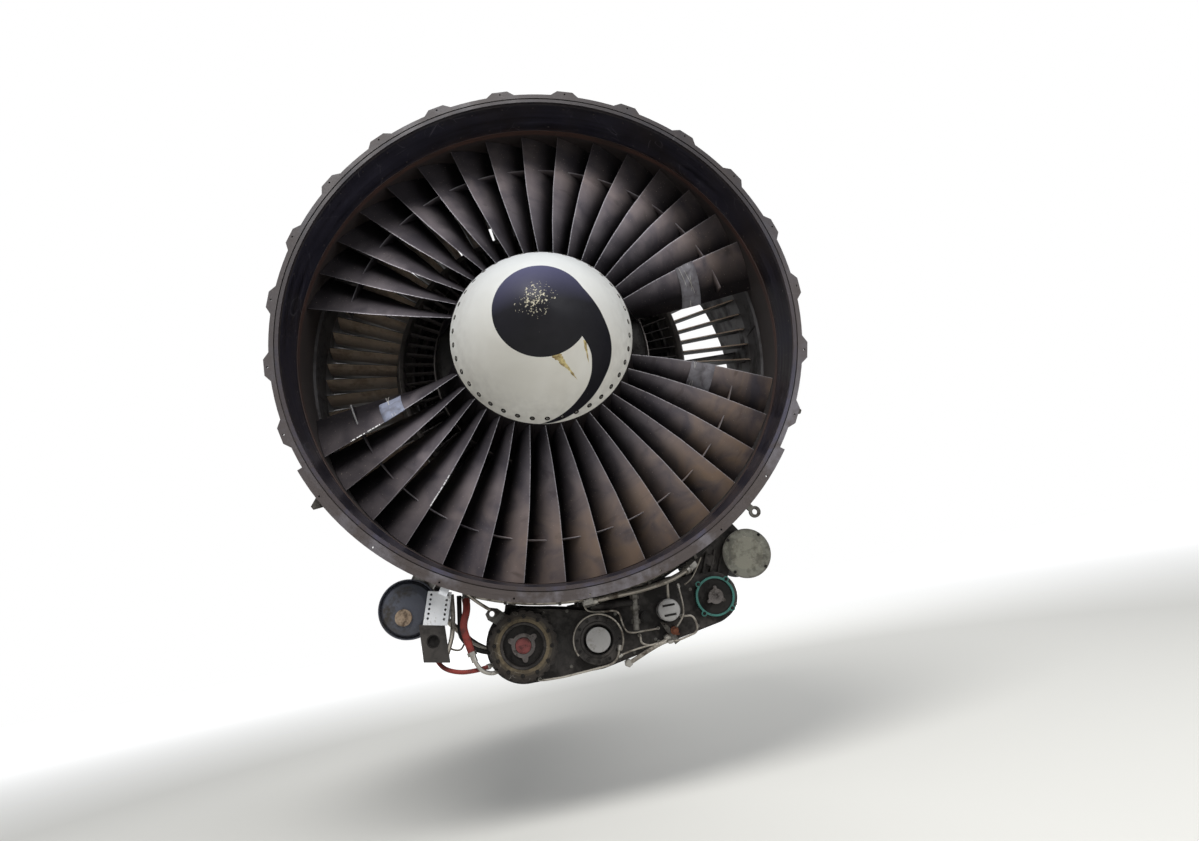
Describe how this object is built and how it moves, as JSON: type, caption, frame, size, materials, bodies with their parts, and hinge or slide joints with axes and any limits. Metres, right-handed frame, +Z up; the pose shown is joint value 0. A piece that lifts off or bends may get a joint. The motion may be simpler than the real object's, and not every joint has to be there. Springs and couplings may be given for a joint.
{
  "type": "turbofan engine",
  "caption": "Large bare turbofan with a deep fan case, twisted fan blades with mid-span shrouds, some of them missing, a domed spinner and a gearbox below the case.",
  "frame": {"origin": "centre of the front face of the inlet flange, on the engine axis", "axes": "+Y runs along the engine axis from the inlet to the exhaust, +Z is up, +X is to the right seen from the front"},
  "size_m": [2.3608, 4.633, 2.6624],
  "materials": {
    "dark_composite": "bonded blue-black acoustic liner and dark painted case, satin",
    "rub_rubber": "reddish-brown abradable filler, matt",
    "dark_metal": "aged bare aluminium, dull and sooty",
    "cast_alloy": "cast light alloy with dark corrosion coating, satin",
    "titanium": "titanium alloy, dull grey-purple with a brown patina",
    "steel": "steel and nickel alloy, plain machined",
    "hot_steel": "nickel alloy, heat-tinted and dull",
    "spinner_paint": "off-white paint, satin, eroded at the nose"
  },
  "bodies": {
    "engine_case": {"fan_case": "dark_composite", "inlet_liner": "dark_composite", "rub_strip": "rub_rubber", "vane_case": "dark_metal", "outlet_guide_vanes": "titanium", "fan_frame": "dark_metal", "booster_case": "dark_metal", "core_inlet_vanes": "dark_metal", "front_sump": "cast_alloy", "fan_ball_bearing": "steel", "fan_roller_bearing": "steel", "compressor_bearing": "steel", "compressor_case": "steel", "compressor_vanes": "steel", "unison_rings": "steel", "vane_levers": "steel", "vane_actuators": "steel", "bleed_manifold": "steel", "bleed_duct": "steel", "combustor_case": "hot_steel", "combustor_liner": "hot_steel", "fuel_nozzles": "steel", "fuel_manifold": "steel", "igniters": "steel", "high_turbine_case": "hot_steel", "turbine_nozzles": "hot_steel", "turbine_mid_frame": "hot_steel", "high_turbine_bearing": "steel", "low_turbine_case": "hot_steel", "cooling_tubes": "steel", "turbine_rear_frame": "hot_steel", "low_turbine_bearing": "steel", "exhaust_plug": "hot_steel", "accessory_gearbox": "cast_alloy", "gearbox_hangers": "steel", "drive_pads": "cast_alloy", "pad_covers": "cast_alloy", "starter": "steel", "fuel_pump": "steel", "fuel_control": "cast_alloy", "hydraulic_pump": "steel", "oil_pump": "cast_alloy", "oil_tank": "steel", "tank_straps": "steel", "transfer_gearbox": "cast_alloy", "drive_shaft_tube": "steel", "forward_mount": "steel", "rear_mount": "steel", "oil_pipes": "steel", "fuel_pipes": "steel", "front_brackets": "steel"},
    "low_spool": {"fan_blades": "titanium", "fan_disk": "titanium", "spinner": "spinner_paint", "low_rotor": "steel", "low_shaft": "steel"},
    "high_spool": {"high_rotor": "steel"},
    "radial_shaft": {"radial_drive_shaft": "steel"},
    "gearbox_shaft": {"horizontal_drive_shaft": "steel"},
    "throttle_lever": {"power_lever": "steel"}
  },
  "joints": [
    {"name": "low_spool_turn", "type": "hinge", "parent": "engine_case", "child": "low_spool", "pos_m": [0, 0, 0], "axis": [0, 1, 0], "continuous": true},
    {"name": "high_spool_turn", "type": "hinge", "parent": "engine_case", "child": "high_spool", "pos_m": [0, 1.12, 0], "axis": [0, 1, 0], "continuous": true},
    {"name": "radial_shaft_turn", "type": "hinge", "parent": "engine_case", "child": "radial_shaft", "pos_m": [0, 1.024, -0.6], "axis": [0, 0, 1], "continuous": true},
    {"name": "gearbox_shaft_turn", "type": "hinge", "parent": "engine_case", "child": "gearbox_shaft", "pos_m": [0, 0.39, -1.262], "axis": [0, 1, 0], "continuous": true},
    {"name": "throttle_turn", "type": "hinge", "parent": "engine_case", "child": "throttle_lever", "pos_m": [0.251, 0.623, -1.33], "axis": [1, 0, 0], "range_deg": [-45, 75]}
  ],
  "couplings": [
    {"joint": "radial_shaft_turn", "follows": "high_spool_turn", "ratio": 1.6},
    {"joint": "gearbox_shaft_turn", "follows": "high_spool_turn", "ratio": -1.4}
  ]
}
